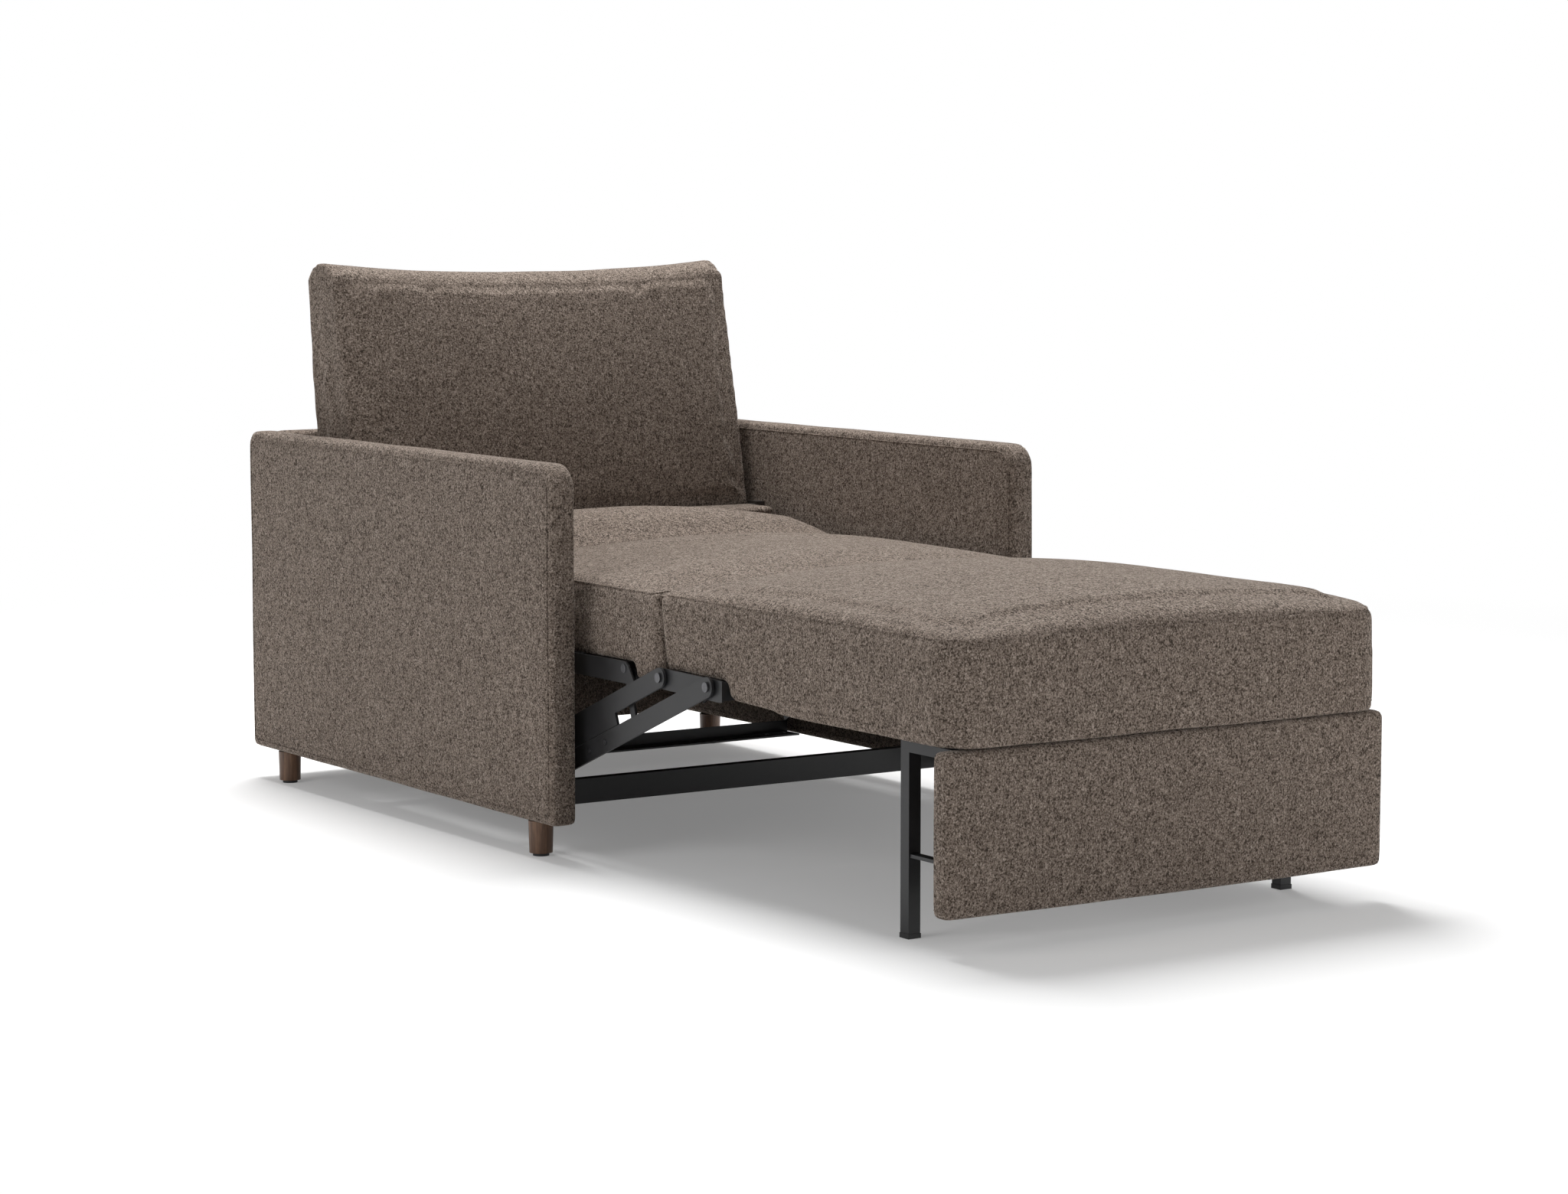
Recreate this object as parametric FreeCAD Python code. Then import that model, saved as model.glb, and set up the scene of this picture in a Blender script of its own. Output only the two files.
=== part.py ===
"""Convertible chair bed: arms, folding bed sections, side links and back cushion.

Frame: X across the chair, -Y towards the foot of the bed, +Z up, millimetres.
Lengths along Y are first taken from the front face of the arms and then moved
by DEPTH_SHIFT, so that the origin lies on the floor under the middle of the
whole opened bed. The bed is modelled opened out, which is its rest pose.
"""
import FreeCAD
import Part

import math
import os

# Overall sizes
ARM_OUTER = 467.7
ARM_INNER = 420.5
ARM_DEPTH = 1073.0
ARM_TOP = 620.0
ARM_BOTTOM = 56.0
ARM_FRONT_RADIUS = 40.0
ARM_REAR_RADIUS = 22.0
ARM_EDGE_RADIUS = 6.0
ARM_COVER_WALL = 9.0
BACK_PANEL_FRONT = 1043.0
DEPTH_SHIFT = -63.0

# Wooden feet
FOOT_RADIUS_TOP = 20.0
FOOT_RADIUS_BOTTOM = 18.5
FOOT_INSET = 27.0
FOOT_Y = (82.5, 976.4)
GLIDE_RADIUS = 13.0
GLIDE_HEIGHT = 5.0

# Cross members between the arms
BEAM_Y = 188.0
BEAM_DEPTH = 20.0
BEAM_Z = (55.5, 95.5)
REAR_ANGLE_Y = 640.0
REAR_ANGLE_WEB_Y = 680.0
REAR_ANGLE_TOP = 79.0
SHEET = 3.0

# Bed sections: lengths along the bed and heights
FRONT_START = -947.0
FRONT_END = -188.0
MIDDLE_START = -184.0
MIDDLE_END = 430.0
REAR_START = 433.0
REAR_END = 668.0
JOINT_SLOPE = 0.17
CUSHION_HALF = 391.0
CORNER_DRAW = 7.0
SEAM_Z = 431.0
NOTCH_Y = -380.0
NOTCH_TOP = 321.0
LIP_END = -118.0
FRAME_Z = (291.0, 321.0)

# Lanes beside the cushions, measured out from the middle plane
PROP_LANE = (389.5, 393.5)
PLATE_LANE = (394.5, 397.5)
LINK_LANE = (400.0, 404.5)
HEAD_LANE = (404.5, 407.5)
ROLLER_LANE = (409.0, 416.5)
RAIL_LANE = (408.5, 417.5)

# Side links: pivots in (Y, Z), slope and half width
LINK_SLOPE = 21.9
HALF_TRAVEL = 458.0
LOWER_TIP = (-347.0, 310.0)
UPPER_TIP = (-213.5, 310.0)
LINK_RISE = HALF_TRAVEL * math.tan(math.radians(LINK_SLOPE))
LOWER_BASE = (LOWER_TIP[0] + HALF_TRAVEL, LOWER_TIP[1] - LINK_RISE)
UPPER_BASE = (UPPER_TIP[0] + HALF_TRAVEL, UPPER_TIP[1] - LINK_RISE)
LINK_LENGTH = HALF_TRAVEL / math.cos(math.radians(LINK_SLOPE))
LINK_HALF = 15.0
WIDE_SIDE = 33.5
WIDE_START = 145.0
WIDE_END = 430.0
PIN_RADIUS = 5.0
PIN_CLEARANCE = 0.3
RIVET_STATIONS = (314.0, 364.0)

# Sliding deck: travel to the folded place and roller places at rest
DECK_BACK = 365.0
DECK_DOWN = 195.0
ROLLER_Y = (320.0, 600.0)
ROLLER_Z = 306.0
ROLLER_RADIUS = 11.0
ROLLER_GAP = 0.4
RAIL_OVERRUN = 14.0
RAIL_WEB = 18.0

# Prop struts under the front of the deck
PROP_PIVOT = (-100.0, 312.0)
PROP_FOOT = (-126.0, 222.0)
PROP_HALF = 7.0

# Front legs and foot panel
LEG_SIZE = 20.0
LEG_OUTER = 350.7
LEG_Y = -787.2
LEG_CAP = 7.0
PANEL_FRONT = -941.0
PANEL_DEPTH = 40.0
PANEL_HALF = 396.0
PANEL_Z = (52.0, 283.0)
PANEL_BULGE = 5.0
STRUT_Z = (115.0, 120.0)

# Rear flap, which bridges the deck's end and the ledge
FLAP_AXIS = (762.0, 470.0)
FLAP_TIP = 676.0
FLAP_HALF = 388.0
FLAP_PIN = 3.0
LUG_X = 402.0
LUG_WIDTH = 18.5

# Back cushion, its ledge and its posts
BACK_HALF = 401.0
BACK_BOTTOM = 464.0
BACK_TOP = 900.0
EAR_RISE = 19.0
LEDGE_TOP = 462.0
POST_X = 200.0
POST_RADIUS = 9.0
POST_LEAN = 8.0
POST_FOOT = (862.0, 442.0)
POST_LENGTH = 210.0
SOCKET_WALL = 3.0
SOCKET_GAP = 0.5

V = FreeCAD.Vector


def box(x0, x1, y0, y1, z0, z1):
    """A block between two corners."""
    return Part.makeBox(x1 - x0, y1 - y0, z1 - z0, V(x0, y0, z0))


def rod_x(x0, x1, y, z, radius):
    """A round bar along X."""
    return Part.makeCylinder(radius, x1 - x0, V(x0, y, z), V(1, 0, 0))


def sheet_x(points, x0, x1):
    """A flat plate with an outline in (Y, Z), between two X planes."""
    loop = [V(x0, y, z) for y, z in points]
    face = Part.Face(Part.makePolygon(loop + loop[:1]))
    return face.extrude(V(x1 - x0, 0, 0))


def mirrored(shape):
    """The same shape on the other side of the middle plane."""
    return shape.mirror(V(0, 0, 0), V(1, 0, 0))


def both_sides(shape):
    """A shape and its mirror image as one group."""
    return Part.makeCompound([shape, mirrored(shape)])


def save(name, shape):
    """Move a shape into the part frame and write it as one node."""
    placed = shape.copy()
    placed.translate(V(0, DEPTH_SHIFT, 0))
    placed.exportStep(f"parts/{name}.step")
    solids = len(placed.Solids)
    print(f"{name}: {solids} solids, {placed.Volume / 1e6:.3f} litres, valid {placed.isValid()}")


def save_pair(name, shape):
    """Write a piece made on the +X side, and its mirror image, as two nodes."""
    save(f"{name}_right", shape)
    save(f"{name}_left", mirrored(shape))


def arc(p, q, r):
    """An arc edge through three points."""
    return Part.Arc(p, q, r).toShape()


def line(p, q):
    """A straight edge."""
    return Part.LineSegment(p, q).toShape()


# Arms and back panel


def arm_slab(inset):
    """The arm's slab with rounded top corners, drawn in by inset on every side."""
    x0 = ARM_INNER + inset
    x1 = ARM_OUTER - inset
    y0 = inset
    y1 = ARM_DEPTH - inset
    z0 = ARM_BOTTOM + inset
    z1 = ARM_TOP - inset
    front = ARM_FRONT_RADIUS - inset
    rear = ARM_REAR_RADIUS - inset
    cut = 1.0 - math.sqrt(0.5)
    edges = [
        line(V(x0, y0, z0), V(x0, y0, z1 - front)),
        arc(V(x0, y0, z1 - front), V(x0, y0 + front * cut, z1 - front * cut), V(x0, y0 + front, z1)),
        line(V(x0, y0 + front, z1), V(x0, y1 - rear, z1)),
        arc(V(x0, y1 - rear, z1), V(x0, y1 - rear * cut, z1 - rear * cut), V(x0, y1, z1 - rear)),
        line(V(x0, y1, z1 - rear), V(x0, y1, z0)),
        line(V(x0, y1, z0), V(x0, y0, z0)),
    ]
    return Part.Face(Part.Wire(edges)).extrude(V(x1 - x0, 0, 0))


def arm_cover():
    """The upholstered skin of one arm, hollow for its board."""
    slab = arm_slab(0.0)
    rounded = [e for e in slab.Edges if abs(e.BoundBox.XLength) < 0.01 and e.BoundBox.XMin > ARM_OUTER - 1.0]
    slab = slab.makeFillet(ARM_EDGE_RADIUS, rounded)
    return slab.cut(arm_slab(ARM_COVER_WALL))


def back_panel():
    """The upholstered panel between the arms, and the board inside it."""
    x = ARM_INNER
    panel = box(-x, x, BACK_PANEL_FRONT, ARM_DEPTH, ARM_BOTTOM, ARM_TOP)
    top = [e for e in panel.Edges if e.BoundBox.ZMin > ARM_TOP - 1.0 and e.BoundBox.XLength > 1.0]
    panel = panel.makeFillet(ARM_EDGE_RADIUS, top)
    wall = ARM_COVER_WALL
    core = box(-x + wall, x - wall, BACK_PANEL_FRONT + wall, ARM_DEPTH - wall,
               ARM_BOTTOM + wall, ARM_TOP - wall)
    return panel.cut(core), core


def feet():
    """Four tapered wooden feet and the glides under them."""
    x = ARM_OUTER - FOOT_INSET
    wood = []
    pads = []
    for sign in (-1.0, 1.0):
        for y in FOOT_Y:
            height = ARM_BOTTOM - GLIDE_HEIGHT
            cone = Part.makeCone(FOOT_RADIUS_BOTTOM, FOOT_RADIUS_TOP, height, V(sign * x, y, GLIDE_HEIGHT))
            wood.append(cone)
            pads.append(Part.makeCylinder(GLIDE_RADIUS, GLIDE_HEIGHT, V(sign * x, y, 0)))
    return Part.makeCompound(wood), Part.makeCompound(pads)


# Cross members


def front_beam():
    """The square tube between the arms, near the front."""
    x = ARM_INNER
    y1 = BEAM_Y + BEAM_DEPTH
    return box(-x, x, BEAM_Y, y1, BEAM_Z[0], BEAM_Z[1])


def rear_angle():
    """The angle section between the arms, further back."""
    x = ARM_INNER
    flange = box(-x, x, REAR_ANGLE_Y, REAR_ANGLE_WEB_Y, ARM_BOTTOM, ARM_BOTTOM + SHEET)
    web = box(-x, x, REAR_ANGLE_WEB_Y, REAR_ANGLE_WEB_Y + SHEET, ARM_BOTTOM, REAR_ANGLE_TOP)
    return flange.fuse(web).removeSplitter()


def beam_screws():
    """Screw heads on the beam and the angle, near each arm."""
    heads = []
    for x in (ARM_INNER - 60.0, ARM_INNER - 20.0):
        heads.append(Part.makeCylinder(5.0, 2.5, V(x, BEAM_Y + 10.0, BEAM_Z[1])))
        heads.append(Part.makeCylinder(5.0, 2.5, V(x, REAR_ANGLE_WEB_Y - 20.0, ARM_BOTTOM + SHEET)))
    return both_sides(Part.makeCompound(heads))


# Link mechanism


def along(tip, base, distance, aside):
    """A point at a distance from the tip towards the base, and to one side."""
    dy = (base[0] - tip[0]) / LINK_LENGTH
    dz = (base[1] - tip[1]) / LINK_LENGTH
    return (tip[0] + dy * distance + dz * aside, tip[1] + dz * distance - dy * aside)


def flat_bar(start, end, half, lane, hole):
    """A flat bar with round ends between two pivots in (Y, Z), with its holes."""
    x0, x1 = lane
    span = math.hypot(end[0] - start[0], end[1] - start[1])
    uy = (end[0] - start[0]) / span
    uz = (end[1] - start[1]) / span
    corners = [
        (start[0] - uz * half, start[1] + uy * half),
        (end[0] - uz * half, end[1] + uy * half),
        (end[0] + uz * half, end[1] - uy * half),
        (start[0] + uz * half, start[1] - uy * half),
    ]
    bar = sheet_x(corners, x0, x1)
    for y, z in (start, end):
        bar = bar.fuse(rod_x(x0, x1, y, z, half))
    bar = bar.removeSplitter()
    for y, z in (start, end):
        bar = bar.cut(rod_x(x0 - 1.0, x1 + 1.0, y, z, hole))
    return bar


def lower_link():
    """The straight lower link of one side."""
    return flat_bar(LOWER_TIP, LOWER_BASE, LINK_HALF, LINK_LANE, PIN_RADIUS + PIN_CLEARANCE)


def upper_link():
    """The upper link of one side, which widens into a plate towards its base."""
    bar = flat_bar(UPPER_TIP, UPPER_BASE, LINK_HALF, LINK_LANE, PIN_RADIUS + PIN_CLEARANCE)
    plate = sheet_x(
        [
            along(UPPER_TIP, UPPER_BASE, WIDE_START, 0.0),
            along(UPPER_TIP, UPPER_BASE, WIDE_START, WIDE_SIDE),
            along(UPPER_TIP, UPPER_BASE, WIDE_END - 25.0, WIDE_SIDE),
            along(UPPER_TIP, UPPER_BASE, WIDE_END, 0.0),
        ],
        LINK_LANE[0],
        LINK_LANE[1],
    )
    return bar.fuse(plate).removeSplitter()


def link_rivets():
    """Two rivet heads on the outer face of a lower link."""
    heads = []
    for station in RIVET_STATIONS:
        y, z = along(LOWER_TIP, LOWER_BASE, station, 0.0)
        heads.append(rod_x(LINK_LANE[1], LINK_LANE[1] + 1.6, y, z, 4.0))
    return Part.makeCompound(heads)


def pivot_plate():
    """The plate on the arm that holds both base pivots of one side."""
    y0 = LOWER_BASE[0] - 28.0
    y1 = UPPER_BASE[0] + 28.0
    z0 = BEAM_Z[1] + 2.0
    plate = box(ARM_INNER - SHEET, ARM_INNER, y0, y1, z0, LOWER_BASE[1] + 24.0)
    for y, z in (LOWER_BASE, UPPER_BASE):
        spacer = rod_x(LINK_LANE[1] + 0.4, ARM_INNER - SHEET, y, z, 10.0)
        plate = plate.fuse(spacer)
    return plate.removeSplitter()


def base_pins():
    """The pins of the base pivots, with a clip at the inner end."""
    pins = []
    for y, z in (LOWER_BASE, UPPER_BASE):
        pin = rod_x(LINK_LANE[0] - 0.3, LINK_LANE[1] + 0.4, y, z, PIN_RADIUS)
        clip = rod_x(LINK_LANE[0] - 1.1, LINK_LANE[0] - 0.3, y, z, 8.0)
        pins.append(pin.fuse(clip).removeSplitter())
    return Part.makeCompound(pins)


def bracket():
    """The bracket under the front section that carries both link tips."""
    x0, x1 = PLATE_LANE
    y0 = NOTCH_Y + 1.0
    y1 = UPPER_TIP[0] + 16.0
    plate = sheet_x(
        [
            (y0, 321.5),
            (y0, 290.0),
            (y0 + 8.0, 289.0),
            (y1 - 10.0, 292.0),
            (y1, 300.0),
            (y1, 318.0),
            (y1 - 6.0, 324.0),
        ],
        x0,
        x1,
    )
    inner = LEG_OUTER
    for y in (y0, UPPER_TIP[0] - 8.0):
        plate = plate.fuse(box(inner, x0, y, y + SHEET, 292.0, 319.0))
    return plate.removeSplitter()


def tip_bolts():
    """The bolts of both link tips, headed outside the links."""
    bolts = []
    for y, z in (LOWER_TIP, UPPER_TIP):
        shank = rod_x(PLATE_LANE[1], HEAD_LANE[0] + 0.2, y, z, PIN_RADIUS)
        washer = rod_x(PLATE_LANE[1], LINK_LANE[0] - 0.1, y, z, 9.0)
        head = rod_x(HEAD_LANE[0] + 0.2, HEAD_LANE[1], y, z, 7.5)
        bolts.append(shank.fuse(washer).fuse(head).removeSplitter())
    return Part.makeCompound(bolts)


# Sliding deck


def deck_direction():
    """The unit vector of the deck's travel in (Y, Z), and its length."""
    travel = math.hypot(DECK_BACK, DECK_DOWN)
    return DECK_BACK / travel, -DECK_DOWN / travel, travel


def slide_rail(start_y):
    """One inclined angle rail, whose top flange carries a roller."""
    uy, uz, travel = deck_direction()
    ny, nz = -uz, uy
    depth = ROLLER_RADIUS + ROLLER_GAP

    def point(distance, below):
        drop = depth + below
        return (start_y + uy * distance - ny * drop, ROLLER_Z + uz * distance - nz * drop)

    ends = (-RAIL_OVERRUN, travel + RAIL_OVERRUN)
    low = [point(ends[0], 0.0), point(ends[1], 0.0)]
    flange = sheet_x(low + [point(ends[1], SHEET), point(ends[0], SHEET)], RAIL_LANE[0], ARM_INNER)
    web = sheet_x(low + [point(ends[1], RAIL_WEB), point(ends[0], RAIL_WEB)], RAIL_LANE[1], ARM_INNER)
    return flange.fuse(web).removeSplitter()


def deck_rollers():
    """The rollers of one side and the studs they turn on."""
    rollers = []
    studs = []
    for y in ROLLER_Y:
        wheel = rod_x(ROLLER_LANE[0], ROLLER_LANE[1], y, ROLLER_Z, ROLLER_RADIUS)
        rollers.append(wheel.cut(rod_x(ROLLER_LANE[0] - 1.0, ROLLER_LANE[1] + 1.0, y, ROLLER_Z, 4.05)))
        studs.append(rod_x(386.0, ROLLER_LANE[1], y, ROLLER_Z, 4.0))
    return Part.makeCompound(rollers), Part.makeCompound(studs)


def deck_plate():
    """The plate at the deck's front corner that holds the prop strut."""
    x0, x1 = PLATE_LANE
    plate = sheet_x(
        [
            (-131.0, 293.0),
            (-123.0, 289.0),
            (60.0, 289.0),
            (60.0, 321.0),
            (-88.0, 323.0),
            (-104.0, 323.0),
            (-113.0, 317.0),
        ],
        x0,
        x1,
    )
    tab = box(386.0, x0, 40.0, 60.0, 292.0, 320.0)
    bolt_hole = rod_x(x0 - 1.0, x1 + 1.0, PROP_PIVOT[0], PROP_PIVOT[1], 4.0)
    return plate.fuse(tab).removeSplitter().cut(bolt_hole)


def prop_bolt():
    """The bolt through the deck plate and the prop strut."""
    y, z = PROP_PIVOT
    shank = rod_x(PROP_LANE[0] - 0.2, PLATE_LANE[1], y, z, 4.0)
    head = rod_x(PLATE_LANE[1], PLATE_LANE[1] + 1.1, y, z, 7.0)
    return shank.fuse(head).removeSplitter()


def prop_strut():
    """The short strut that steadies the deck's front when the bed is open."""
    return flat_bar(PROP_PIVOT, PROP_FOOT, PROP_HALF, PROP_LANE, 4.0 + PIN_CLEARANCE)


def tube_frame(half, y0, y1, z0, z1, width):
    """Side rails and end rails of a steel frame, as two groups."""
    sides = both_sides(box(half - width, half, y0, y1, z0, z1))
    inner = half - width
    ends = Part.makeCompound([
        box(-inner, inner, y0, y0 + width, z0, z1),
        box(-inner, inner, y1 - width, y1, z0, z1),
    ])
    return sides, ends


def slats(half, y0, y1, z0, z1, count):
    """Even cross slats between two side rails."""
    pitch = (y1 - y0) / count
    width = pitch * 0.6
    bars = []
    for index in range(count):
        middle = y0 + pitch * (index + 0.5)
        bars.append(box(-half, half, middle - width / 2.0, middle + width / 2.0, z0, z1))
    return Part.makeCompound(bars)


# Soft pieces


def cushion_section(y, half, bottom, seam, crown):
    """One cross-section of a crowned cushion: bowed sides and a full round top."""
    roll = 0.07 * half
    shoulder = seam + 0.36 * crown
    bow = 2.5
    top = seam + crown
    left = V(-half, y, bottom)
    edges = [
        line(V(half, y, bottom), left),
        arc(left, V(-half - bow, y, (bottom + seam) / 2.0), V(-half, y, seam)),
        arc(V(-half, y, seam), V(-half + 0.34 * roll, y, seam + 0.23 * crown), V(-half + roll, y, shoulder)),
        arc(V(-half + roll, y, shoulder), V(0, y, top), V(half - roll, y, shoulder)),
        arc(V(half - roll, y, shoulder), V(half - 0.34 * roll, y, seam + 0.23 * crown), V(half, y, seam)),
        arc(V(half, y, seam), V(half + bow, y, (bottom + seam) / 2.0), V(half, y, bottom)),
    ]
    return Part.Wire(edges)


def cushion(stations):
    """A cushion lofted through its cross-sections."""
    wires = [cushion_section(*station) for station in stations]
    return Part.makeLoft(wires, True, False)


def drawn_half(y, start, end):
    """The cushion's half width at a place: full at its corners, drawn in between."""
    t = 2.0 * (y - start) / (end - start) - 1.0
    return CUSHION_HALF - CORNER_DRAW * (1.0 - t * t) * 0.5


def slanted_cut(y_top, behind):
    """A large block with one slanted face, which passes through y_top at the seam."""
    low = y_top - JOINT_SLOPE * SEAM_Z
    high = y_top + JOINT_SLOPE * 200.0
    far = y_top + (400.0 if behind else -400.0)
    return sheet_x([(low, 0.0), (high, SEAM_Z + 200.0), (far, SEAM_Z + 200.0), (far, 0.0)], -500.0, 500.0)


def front_cushion():
    """The long front cushion, hollow underneath for its steel frame."""
    start, end = FRONT_START, FRONT_END
    plan = (
        (0.0, -9.0, 285.0, 2.0),
        (6.0, -3.0, 285.0, 13.0),
        (24.0, 0.0, 285.0, 25.0),
        (90.0, 0.0, 285.0, 37.0),
        (240.0, 0.0, 285.0, 44.0),
        (430.0, 0.0, 286.0, 45.0),
        (570.0, 0.0, 295.0, 42.0),
        (680.0, 0.0, 300.0, 34.0),
        (735.0, -1.0, 300.0, 22.0),
        (762.0, -4.0, 300.0, 4.0),
    )
    stations = []
    for offset, narrow, bottom, crown in plan:
        y = start + offset
        seam = SEAM_Z + (3.0 if 30.0 < offset < 600.0 else 0.0)
        stations.append((y, drawn_half(y, start, end) + narrow, bottom, seam, crown))
    body = cushion(stations).cut(slanted_cut(end, True))
    body = body.cut(box(-358.0, 358.0, start + 34.0, -216.0, 200.0, NOTCH_TOP + 1.0))
    for side in (-1.0, 1.0):
        x0, x1 = sorted((side * 340.0, side * 420.0))
        body = body.cut(box(x0, x1, NOTCH_Y, -100.0, 200.0, NOTCH_TOP))
    return body


def middle_cushion():
    """The middle cushion, with a lip at its front and flat over the deck frame."""
    start, end = MIDDLE_START - 24.0, MIDDLE_END
    plan = (
        (0.0, -4.0, 4.0),
        (30.0, -1.0, 20.0),
        (90.0, 0.0, 31.0),
        (220.0, 0.0, 39.0),
        (380.0, 0.0, 41.0),
        (500.0, 0.0, 37.0),
        (585.0, 0.0, 25.0),
        (626.0, -3.0, 12.0),
        (638.0, -7.0, 2.0),
    )
    stations = [(start + o, drawn_half(start + o, start, end) + n, 296.0, SEAM_Z, c) for o, n, c in plan]
    body = cushion(stations).cut(slanted_cut(MIDDLE_START, False))
    return body.cut(box(-420.0, 420.0, LIP_END, 500.0, 200.0, FRAME_Z[1] + 1.0))


def rear_cushion():
    """The short rear cushion, whose crown peaks close to its rear end."""
    plan = (
        (0.0, -6.0, 431.0, 2.0),
        (13.0, -2.0, 432.0, 14.0),
        (57.0, 0.0, 434.0, 36.0),
        (127.0, 0.0, 440.0, 51.0),
        (172.0, 0.0, 446.0, 50.0),
        (207.0, -1.0, 446.0, 42.0),
        (225.0, -3.0, 440.0, 30.0),
        (235.0, -7.0, 432.0, 16.0),
    )
    bottom = FRAME_Z[1] + 1.0
    return cushion([(REAR_START + o, CUSHION_HALF + n, bottom, seam, crown) for o, n, seam, crown in plan])


def rear_flap():
    """The padded flap that bridges the deck's end, its board and its hinge rod."""
    y, z = FLAP_AXIS
    end = y - FLAP_PIN - 1.0
    tip = [(FLAP_TIP, 461.0), (FLAP_TIP, 469.0), (FLAP_TIP + 8.0, 474.0)]
    pad = sheet_x(tip + [(end, 474.0), (end, 452.0)], -FLAP_HALF, FLAP_HALF)
    board = sheet_x([(FLAP_TIP + 12.0, 458.3), (end, 451.7), (end, 444.0), (FLAP_TIP + 40.0, 448.0)],
                    -FLAP_HALF, FLAP_HALF)
    reach = LUG_X + LUG_WIDTH - SHEET
    leaf = rod_x(-reach, reach, y, z, FLAP_PIN)
    for x in (-300.0, 0.0, 300.0):
        leaf = leaf.fuse(box(x - 20.0, x + 20.0, end, y, 446.0, z))
    return pad, board, leaf.removeSplitter()


def foot_panel(inset):
    """The padded panel in front of the legs, drawn in by inset."""
    half = PANEL_HALF - inset
    y0 = PANEL_FRONT + PANEL_BULGE + inset
    y1 = PANEL_FRONT + PANEL_DEPTH - inset
    z0 = PANEL_Z[0] + inset
    bulge = PANEL_BULGE
    edges = [
        arc(V(-half, y0, z0), V(0, y0 - bulge, z0), V(half, y0, z0)),
        line(V(half, y0, z0), V(half, y1, z0)),
        line(V(half, y1, z0), V(-half, y1, z0)),
        line(V(-half, y1, z0), V(-half, y0, z0)),
    ]
    return Part.Face(Part.Wire(edges)).extrude(V(0, 0, PANEL_Z[1] - inset - z0))


def foot_panel_cover():
    """The foot panel's upholstery, with rounded edges, hollow for its board."""
    solid = foot_panel(0.0)
    solid = solid.makeFillet(8.0, solid.Edges)
    return solid.cut(foot_panel(12.0))


def back_section(x, grow, bulge):
    """One upright section of the back cushion in the (Y, Z) plane."""
    rise = EAR_RISE * (abs(x) / BACK_HALF) ** 2.4
    top = BACK_TOP + rise - grow * 0.6
    front_low = V(x, 771.0 + grow * 0.6, BACK_BOTTOM)
    front_high = V(x, 862.0 + grow * 0.6, top - 20.0)
    rear_high = V(x, 972.0 - grow * 0.6, top - 34.0)
    rear_low = V(x, 925.0 - grow * 0.6, BACK_BOTTOM)
    front_mid = V(x, 806.0 + grow * 0.6 - bulge, 660.0)
    return Part.Wire([
        line(rear_low, front_low),
        arc(front_low, front_mid, front_high),
        arc(front_high, V(x, 902.0, top), rear_high),
        arc(rear_high, V(x, 952.0 - grow * 0.4, 660.0), rear_low),
    ])


def back_shape():
    """The back cushion's body: crowned front, concave top edge and raised corners."""
    steps = (0.0, 0.3, 0.6, 0.8, 0.9, 0.95, 0.98, 1.0)
    places = sorted({-step for step in steps} | set(steps))
    wires = []
    for place in places:
        grow = 15.0 * max(0.0, (abs(place) - 0.88) / 0.12) ** 2
        bulge = 17.0 * (1.0 - place * place)
        wires.append(back_section(place * BACK_HALF, grow, bulge))
    return Part.makeLoft(wires, True, False)


def post_axis():
    """The leaning direction of the back posts."""
    lean = math.radians(POST_LEAN)
    return V(0, math.sin(lean), math.cos(lean))


def post_rod(side, radius, start, length):
    """A round rod along a back post's axis."""
    axis = post_axis()
    foot = V(side * POST_X, POST_FOOT[0], POST_FOOT[1])
    return Part.makeCylinder(radius, length, foot + axis * start, axis)


def back_parts():
    """Back cushion, its inner board, the sockets in it and the posts below."""
    outer = POST_RADIUS + SOCKET_GAP + SOCKET_WALL
    reach = POST_LENGTH + 6.0
    sockets = []
    posts = []
    cavity = None
    for side in (-1.0, 1.0):
        tube = post_rod(side, outer, 20.0, reach)
        bore = post_rod(side, POST_RADIUS + SOCKET_GAP, -40.0, POST_LENGTH + 44.0)
        trim = box(-500.0, 500.0, 700.0, 1100.0, 300.0, BACK_BOTTOM + 1.0)
        sockets.append(tube.cut(bore).cut(trim))
        posts.append(post_rod(side, POST_RADIUS, 0.0, POST_LENGTH))
        hole = post_rod(side, outer, -40.0, reach + 60.0)
        cavity = hole if cavity is None else cavity.fuse(hole)
    board = sheet_x([(880.0, 500.0), (893.0, 500.0), (929.0, 850.0), (916.0, 850.0)], -330.0, 330.0)
    board = board.cut(cavity)
    body = back_shape().cut(cavity).cut(sheet_x(
        [(880.0, 500.0), (893.0, 500.0), (929.0, 850.0), (916.0, 850.0)], -330.0, 330.0))
    return body, board, Part.makeCompound(sockets), Part.makeCompound(posts)


def rear_ledge():
    """The padded ledge behind the deck that the back cushion stands on."""
    front = FLAP_AXIS[0] + 6.0
    pad = box(-400.0, 400.0, front, BACK_PANEL_FRONT, 440.0, LEDGE_TOP)
    board_top = [(front, 440.0), (BACK_PANEL_FRONT, 440.0)]
    board = sheet_x(board_top + [(BACK_PANEL_FRONT, 422.0), (front + 24.0, 422.0)], -ARM_INNER, ARM_INNER)
    lug = box(LUG_X, LUG_X + LUG_WIDTH, FLAP_AXIS[0] - 8.0, front + 16.0, 440.0, FLAP_AXIS[1] + 7.0)
    lug = lug.cut(rod_x(LUG_X - 1.0, ARM_INNER + 1.0, FLAP_AXIS[0], FLAP_AXIS[1], FLAP_PIN + PIN_CLEARANCE))
    return pad, board, both_sides(lug)


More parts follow.
